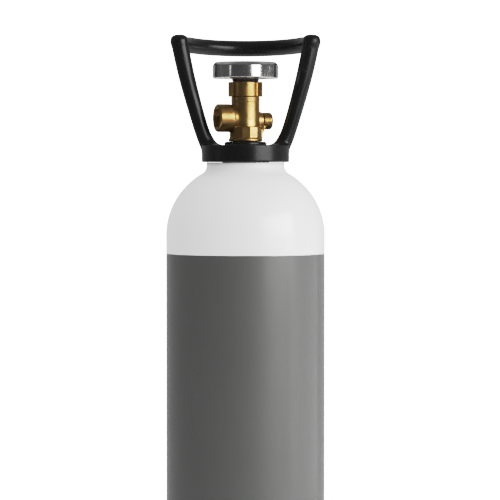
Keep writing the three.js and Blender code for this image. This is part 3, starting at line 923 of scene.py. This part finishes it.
def bored(f, body, outlet_across, relief_across):
    """The body with its threaded outlet, relief, spindle and inlet bores cut."""
    thread = 0.45 * np.sin(2 * math.pi * f.x / OUTLET_PITCH - np.arctan2(f.y, f.z - OUTLET_Z))
    entry = np.clip(-f.x - OUTLET_LENGTH + 1.2, 0, 2)
    bore_r = OUTLET_BORE_R + thread + entry
    floor = OUTLET_LENGTH - OUTLET_BORE_DEPTH
    body = cut(body, cylinder_field(outlet_across, -f.x, bore_r, floor, OUTLET_LENGTH + 4, 0.3), 0.3)
    passage_across = np.sqrt(f.y ** 2 + (f.z - SEAT_Z - 2.6) ** 2)
    for across, along, radius, start, end in (
        (passage_across, -f.x, OUTLET_PASSAGE_R, 0.0, OUTLET_LENGTH - 5),
        (relief_across, f.x, RELIEF_BORE_R, RELIEF_BORE_START, RELIEF_LENGTH + 3),
        (relief_across, f.x, RELIEF_PASSAGE_R, 0.0, RELIEF_BORE_START + 1),
        (f.radius, f.z, CHAMBER_R, SEAT_Z, SPIGOT_TOP + 4),
        (f.radius, f.z, INLET_R, STEM_END - 8, SEAT_Z + 1),
        (f.radius, f.z, INLET_MOUTH_R, STEM_END - 8, INLET_MOUTH_Z),
    ):
        body = cut(body, cylinder_field(across, along, radius, start, end))
    return body


def make_valve_body():
    """Forged and bored brass body: trunk, spanner flats, outlet boss and relief stub."""
    f = Field((-34.4, -20, -34), (24, 20, SPIGOT_TOP + 2), 0.4)
    angle = np.arctan2(f.y, f.x)
    outlet_across = np.sqrt(f.y ** 2 + (f.z - OUTLET_Z) ** 2)
    relief_across = np.sqrt(f.y ** 2 + (f.z - RELIEF_Z) ** 2)
    body = join(valve_trunk(f, angle), outlet_boss(f, outlet_across), 2.0)
    stub = cylinder_field(relief_across, f.x, RELIEF_R, 0.0, RELIEF_LENGTH, 0.5)
    body = join(join(body, stub, 2.4), relief_web(f), 2.0)
    spigot = cylinder_field(f.radius, f.z, SPIGOT_R - 0.1, BODY_TOP - 2, SPIGOT_TOP, 0.4)
    stem_thread = 0.35 * np.sin(2 * math.pi * f.z / STEM_PITCH - angle)
    stem = cylinder_field(f.radius, f.z, STEM_R + stem_thread, STEM_END, FOOT_Z - 1, 0.8)
    bm = f.bmesh(bored(f, join(join(body, spigot), stem), outlet_across, relief_across))
    piece("forged_valve_body", bm, "forged", FIXED, "valve_body", [TURN_VALVE], smooth_angle=48)


def make_gland_nut():
    """Round gland nut with two spanner lugs, bored for the packing and the spindle."""
    f = Field((-20, -16, GLAND_BOTTOM - 2), (20, 16, GLAND_TOP + 2), 0.3)
    barrel = cylinder_field(f.radius, f.z, GLAND_R, GLAND_BOTTOM, GLAND_TOP, 0.5)
    edge = 0.5
    lug_x = np.abs(f.x) - LUG_REACH + edge
    lug_y = np.abs(f.y) - LUG_HALF + edge
    lug_z = np.maximum(GLAND_BOTTOM - f.z, f.z - GLAND_TOP + 0.2) + edge
    inside = np.maximum(np.maximum(lug_x, lug_y), lug_z)
    outside = np.sqrt(np.maximum(lug_x, 0) ** 2 + np.maximum(lug_y, 0) ** 2 + np.maximum(lug_z, 0) ** 2)
    nut = join(barrel, outside + np.minimum(inside, 0) - edge, 0.3)
    nut = cut(nut, cylinder_field(f.radius, f.z, SPIGOT_R + 0.3, GLAND_BOTTOM - 4, SPIGOT_TOP + 0.5))
    nut = cut(nut, cylinder_field(f.radius, f.z, CHAMBER_R, GLAND_BOTTOM, GLAND_CHAMBER_TOP))
    nut = cut(nut, cylinder_field(f.radius, f.z, GLAND_BORE_R, GLAND_BOTTOM, GLAND_TOP + 4), 0.3)
    piece("lugged_gland_nut", f.bmesh(nut), "turned", FIXED, "gland_nut", smooth_angle=48)


def make_relief_fittings():
    """Bursting-disc plug with a ridged head and a hexagon socket, its disc and gasket."""
    moves = LAY_ALONG_X, Matrix.Translation((0, 0, RELIEF_Z)), TURN_VALVE
    start = RELIEF_BORE_START + 2.5
    head = RELIEF_LENGTH + 0.3
    shank = [
        (PLUG_HOLE_R, PLUG_HOLE_END), (PLUG_HOLE_R, start), (PLUG_R, start, 0.3), (PLUG_R, head),
        (PLUG_HEAD_R - 1.8, head, 0.2), (PLUG_HEAD_R - 1.8, head + 0.8, 0.1),
    ]
    first = head + 1.0
    crown = PLUG_END - 1.5
    floor = PLUG_END - PLUG_SOCKET_DEPTH
    pitch = (crown - first) / PLUG_RIDGES
    valley = PLUG_HEAD_R - 0.28
    ridges = []
    for k in range(PLUG_RIDGES):
        z = first + k * pitch
        ridges.append((valley, z, 0.1))
        ridges.append((PLUG_HEAD_R, z + pitch * 0.3, 0.15))
        ridges.append((PLUG_HEAD_R, z + pitch * 0.75, 0.15))
    face = [
        (valley, crown, 0.1), (PLUG_HEAD_R, crown + 0.2, 0.2), (PLUG_HEAD_R - 1.0, PLUG_END, 0.8),
        (PLUG_SOCKET_R, PLUG_END, 0.3), (PLUG_SOCKET_R, floor), (0, floor),
    ]
    outline = [(0, PLUG_HOLE_END)] + rounded(shank + ridges + face, 3)
    bm = revolve(outline, 96, hexagon_below(PLUG_SOCKET_R + 0.1))
    piece("burst_plug", bm, "turned_side", FIXED, "relief_plug", moves)

    back = RELIEF_BORE_START + 0.3
    bm = revolve([
        (0, back), (DISC_R, back), (DISC_R, back + 0.55), (INLET_R, back + 0.6), (0, back + 0.35),
    ], 48)
    piece("domed_burst_disc", bm, "zinc", FIXED, "burst_disc", moves)

    back = RELIEF_BORE_START + 1.2
    gasket = ring(3.05, DISC_R, back, back + 1, 0.15, 48)
    piece("burst_gasket", gasket, "polymer", FIXED, "relief_gasket", moves)


def make_gland_internals():
    """Washer, packing and seals inside the gland, and the tube in the stem's foot."""
    rings = (
        ("thrust_bearing_washer", ring(5.35, 7.35, 53.3, 54.8, 0.2, 48), "polymer", "thrust_washer"),
        ("gland_packing", ring(5.45, 7.35, 61.2, 65.1, 0.3, 48), "polymer", "packing_ring"),
        ("spindle_seal_lower", torus(6.4, 1.05, 56.4, 48), "rubber", "spindle_o_ring_lower"),
        ("spindle_seal_upper", torus(6.4, 1.05, 59.4, 48), "rubber", "spindle_o_ring_upper"),
        ("inlet_debris_tube", ring(2.65, 3.75, -60.0, -14.3, 0.3, 48), "turned", "debris_tube"),
    )
    for name, bm, finish, node in rings:
        piece(name, bm, finish, FIXED, node, [TURN_VALVE])


# ------------------------ spindles and handwheel


def scalloped(start, full):
    """Pulls the rim in between its lobes, fully beyond one radius and not at all inside another."""
    def scale_at(angle, radius, _height):
        share = min(max((radius - start) / (full - start), 0.0), 1.0)
        share = share * share * (3 - 2 * share)
        valley = (1 - math.cos(LOBES * angle)) / 2
        return radius - SCALLOP * valley ** 2.6 * share
    return scale_at


def square_off(vert, half_side):
    """Moves a vertex of a round hole out onto a square of the given half side."""
    angle = math.atan2(vert.co.y, vert.co.x)
    sector = math.pi / 2
    off = (angle + sector / 2) % sector - sector / 2
    reach = half_side / math.cos(off)
    vert.co.x = reach * math.cos(angle)
    vert.co.y = reach * math.sin(angle)


def make_handwheel():
    """Cast wheel: crowned lobed rim, dished top with a raised hub, hollow underside."""
    low = WHEEL_BOTTOM
    top = WHEEL_TOP
    recess = low + WHEEL_RECESS
    floor = low + HUB_FLOOR
    bm = revolve(rounded([
        # underside
        (WHEEL_HOLE_R, low, 0.3), (16.4, low, 0.6), (17.4, recess, 1.5), (26.6, recess, 1.5),
        (28.2, low, 0.8), (33.9, low, 0.9),
        # rim
        (WHEEL_R, low + 1.2, 0.9), (WHEEL_R, top - 3.6, 3.2), (32.0, top, 3.2),
        # dish and hub
        (27.0, top, 1.8), (24.6, top - 2.4, 1.6), (17.6, top - 2.6, 1.6), (15.6, top - 0.4, 0.8),
        (HUB_R, top - 0.4, 0.5), (HUB_R, floor, 0.6), (WHEEL_HOLE_R, floor, 0.3),
    ], 6), 288, scalloped(14.0, 30.0))
    for v in bm.verts:
        if math.hypot(v.co.x, v.co.y) < WHEEL_HOLE_R + 0.3:
            square_off(v, WHEEL_SQUARE_HALF)
    piece("lobed_handwheel", bm, "chrome", TURNING, "handwheel", smooth_angle=40)


def make_wheel_fittings():
    """Black collar under the wheel, and the washer and nut in its hub."""
    bm = revolve(rounded([
        (5.5, COLLAR_BOTTOM, 0.2), (14.1, COLLAR_BOTTOM, 0.3), (14.3, COLLAR_BOTTOM + 1.3, 0.4),
        (14.7, COLLAR_TOP - 0.6, 0.3), (14.7, COLLAR_TOP, 0.2), (5.5, COLLAR_TOP, 0.2),
    ]))
    piece("wheel_collar", bm, "collar", TURNING, "handwheel_collar")

    washer = ring(3.4, 8.0, 84.5, 85.5, 0.25)
    piece("wheel_washer", washer, "zinc", TURNING, "handwheel_washer")

    corner_r = WHEEL_NUT_HALF + 0.6
    bm = revolve(rounded([
        (WHEEL_NUT_BORE_R, WHEEL_NUT_BOTTOM, 0.3), (WHEEL_NUT_HALF, WHEEL_NUT_BOTTOM, 0.35),
        (corner_r, WHEEL_NUT_BOTTOM + 0.5), (corner_r, WHEEL_NUT_TOP - 0.5),
        (WHEEL_NUT_HALF, WHEEL_NUT_TOP, 0.35), (WHEEL_NUT_BORE_R, WHEEL_NUT_TOP, 0.3),
    ], 3), 96, hexagon_beyond(WHEEL_NUT_HALF))
    piece("wheel_nut", bm, "zinc", TURNING, "handwheel_nut")


def make_spring():
    """Round-wire spring between the hub's floor and the washer."""
    bm = bmesh.new()
    steps = 48 * SPRING_TURNS
    sides = 14
    start = WHEEL_BOTTOM + HUB_FLOOR + 1.05
    up = Vector((0, 0, 1))
    rings = []
    for i in range(steps + 1):
        t = i / steps
        a = 2 * math.pi * SPRING_TURNS * t
        out = Vector((math.cos(a), math.sin(a), 0))
        centre = out * SPRING_R + up * (start + SPRING_RISE * t)
        loop = []
        for k in range(sides):
            b = 2 * math.pi * k / sides
            loop.append(bm.verts.new(centre + (out * math.cos(b) + up * math.sin(b)) * SPRING_WIRE_R))
        rings.append(loop)
    for one, two in zip(rings, rings[1:]):
        for k in range(sides):
            j = (k + 1) % sides
            bm.faces.new((one[k], one[j], two[j], two[k]))
    bm.faces.new(rings[0][::-1])
    bm.faces.new(rings[-1])
    piece("wheel_spring", bm, "zinc", TURNING, "handwheel_spring")


def make_upper_spindle():
    """Spindle with a flat tang, a collar, a square for the wheel and a threaded end."""
    f = Field((-9, -9, 38.5), (9, 9, 91.5), 0.25)
    shape = cylinder_field(f.radius, f.z, SPINDLE_COLLAR_R, 50.6, 53.0, 0.3)
    shape = join(shape, cylinder_field(f.radius, f.z, SPINDLE_R, 52.0, WHEEL_BOTTOM - 0.3, 0.2))
    sides = np.maximum(np.abs(f.x) - TANG_HALF_WIDTH, np.abs(f.y) - TANG_HALF_THICKNESS)
    shape = join(shape, np.maximum(sides, np.maximum(TANG_END - f.z, f.z - 51)))
    sides = np.maximum(np.abs(f.x), np.abs(f.y)) - SPINDLE_SQUARE_HALF
    ends = np.maximum(WHEEL_BOTTOM - 1 - f.z, f.z - WHEEL_BOTTOM - 6.9)
    shape = join(shape, np.maximum(sides, ends))
    thread = 0.22 * np.sin(2 * math.pi * f.z - np.arctan2(f.y, f.x))
    shape = join(shape, cylinder_field(f.radius, f.z, 2.8 + thread, WHEEL_BOTTOM + 6, SPINDLE_END, 0.4))
    piece("driving_spindle", f.bmesh(shape), "turned", TURNING, "upper_spindle", smooth_angle=50)


def make_seat_plug():
    """Screwed plug with a slot for the tang, and its seat disc."""
    f = Field((-9, -9, 31), (9, 9, 49), 0.25)
    thread = 0.25 * np.sin(2 * math.pi * f.z / SEAT_PLUG_PITCH - np.arctan2(f.y, f.x))
    shape = cylinder_field(f.radius, f.z, SEAT_PLUG_R + thread, SEAT_PLUG_BOTTOM, SEAT_PLUG_TOP, 0.4)
    shape = cut(shape, cylinder_field(f.radius, f.z, SEAT_PLUG_POCKET_R, SEAT_Z, SEAT_DISC_TOP + 0.35))
    shape = cut(shape, np.maximum(np.abs(f.y) - TANG_HALF_THICKNESS - 0.3, 36.4 - f.z))
    piece("screwed_seat_plug", f.bmesh(shape), "turned", LIFTING, "lower_spindle", smooth_angle=50)

    bm = revolve(rounded([
        (0, SEAT_DISC_BOTTOM), (SEAT_DISC_R, SEAT_DISC_BOTTOM, 0.4),
        (SEAT_DISC_R, SEAT_DISC_TOP, 0.3), (0, SEAT_DISC_TOP),
    ], 3), 64)
    piece("soft_seat", bm, "polymer", LIFTING, "seat_disc")


# ------------------------ studio


def make_floor():
    """A plain pale floor that fades out round its rim."""
    n = Nodes("studio_floor")
    tone = n.mix(n.noise(3.0, detail=3.0), rgb(0.80, 0.80, 0.80), rgb(0.84, 0.84, 0.84))
    n.finish(tone, 0.7)
    clear = n.add("ShaderNodeBsdfTransparent").outputs[0]
    faded = n.mix_shaders(n.ramp(n.radius(), 0.7, FLOOR_R - 0.05), n.shader.outputs[0], clear)
    n.link(faded, n.tree.nodes["Material Output"].inputs["Surface"])
    bm = bmesh.new()
    bmesh.ops.create_circle(bm, cap_ends=True, segments=96, radius=FLOOR_R)
    mesh = bpy.data.meshes.new("floor")
    bm.to_mesh(mesh)
    bm.free()
    mesh.materials.append(n.material)
    floor = bpy.data.objects.new("floor", mesh)
    floor.location.z = -FLOOR_DROP
    bpy.context.scene.collection.objects.link(floor)


class WorldNodes(Nodes):
    """Builds the world's node tree."""

    def __init__(self, name):
        world = bpy.data.worlds.new(name)
        world.use_nodes = True
        bpy.context.scene.world = world
        self.tree = world.node_tree
        self.tree.nodes.clear()
        self.place = self.add("ShaderNodeTexCoord").outputs["Generated"]

    def gradient(self, axis, low, high, start, end):
        return self.ramp(self.axis(axis), low, high, start, end, interpolation_type="SMOOTHSTEP")

    def background(self, strength):
        node = self.add("ShaderNodeBackground")
        node.inputs["Color"].default_value = rgb(1, 1, 1)
        self.fill(node.inputs["Strength"], strength)
        return node.outputs[0]


def make_world():
    """A white sky to the eye, a dim room with a light wall behind to gloss, and soft fill to the rest."""
    n = WorldNodes("studio")
    path = n.add("ShaderNodeLightPath")
    fill = n.math("ADD", n.gradient("Y", -0.9, 0.9, FILL_FRONT, FILL_BACK),
                  n.gradient("Z", 0.1, 0.9, 0.0, FILL_TOP))
    room = n.math("ADD", n.gradient("Y", -0.1, 0.9, ROOM_FRONT, ROOM_BACK),
                  n.gradient("Z", 0.3, 0.95, 0.0, ROOM_TOP))
    lit = n.mix_shaders(path.outputs["Is Glossy Ray"], n.background(fill), n.background(room))
    seen = n.mix_shaders(path.outputs["Is Camera Ray"], lit, n.background(WHITE_POINT))
    n.link(seen, n.add("ShaderNodeOutputWorld").inputs["Surface"])


def set_tone():
    """Plain sRGB view behind a given tone curve, as a studio camera has."""
    settings = bpy.context.scene.view_settings
    settings.view_transform = "Standard"
    settings.use_curve_mapping = True
    mapping = settings.curve_mapping
    mapping.white_level = (WHITE_POINT, WHITE_POINT, WHITE_POINT)
    mapping.extend = "HORIZONTAL"
    points = mapping.curves[3].points
    for light, shown in TONE_CURVE[1:-1]:
        points.new(light / WHITE_POINT, shown)
    mapping.update()


def softbox(name, azimuth, elevation, distance, width, height, radiance):
    """A rectangular lamp facing the valve. Azimuth 0 is the camera's side, positive to the right."""
    lamp = bpy.data.lights.new(name, "AREA")
    lamp.shape = "RECTANGLE"
    lamp.size = width
    lamp.size_y = height
    lamp.energy = radiance * math.pi * width * height
    held = bpy.data.objects.new(name, lamp)
    a = math.radians(azimuth)
    e = math.radians(elevation)
    aim = Vector((0, 0, LAMP_AIM_Z))
    out = Vector((math.sin(a) * math.cos(e), -math.cos(a) * math.cos(e), math.sin(e)))
    held.location = aim + out * distance
    held.rotation_mode = "QUATERNION"
    held.rotation_quaternion = out.to_track_quat("Z", "Y")
    held.visible_camera = False
    bpy.context.scene.collection.objects.link(held)


def make_lamps():
    """A large key lamp at the right, a narrow strip at the left and a low card at the far right."""
    softbox("key_softbox", 50, 15, 2.0, 1.75, 1.15, 3.9)
    softbox("left_strip", -76, 14, 1.8, 0.18, 0.7, 1.0)
    softbox("low_card", 97, -9, 2.0, 2.3, 0.5, 0.85)


def make_camera():
    """Level with the neck, square on to the valve, with the long lens that product shots use."""
    data = bpy.data.cameras.new("camera")
    data.lens = CAMERA_LENS
    data.sensor_width = 36.0
    data.clip_start = 0.05
    data.clip_end = 50.0
    camera = bpy.data.objects.new("camera", data)
    camera.location = (CAMERA_X, -CAMERA_DISTANCE, CAMERA_Z)
    camera.rotation_euler = (math.radians(90) - CAMERA_TILT, 0, 0)
    bpy.context.scene.collection.objects.link(camera)
    bpy.context.scene.camera = camera


make_camera()
make_vessel()
make_boot()
make_guard()
make_neck_fittings()
make_valve_body()
make_gland_nut()
make_relief_fittings()
make_gland_internals()
make_handwheel()
make_wheel_fittings()
make_spring()
make_upper_spindle()
make_seat_plug()
make_floor()
make_world()
make_lamps()
set_tone()
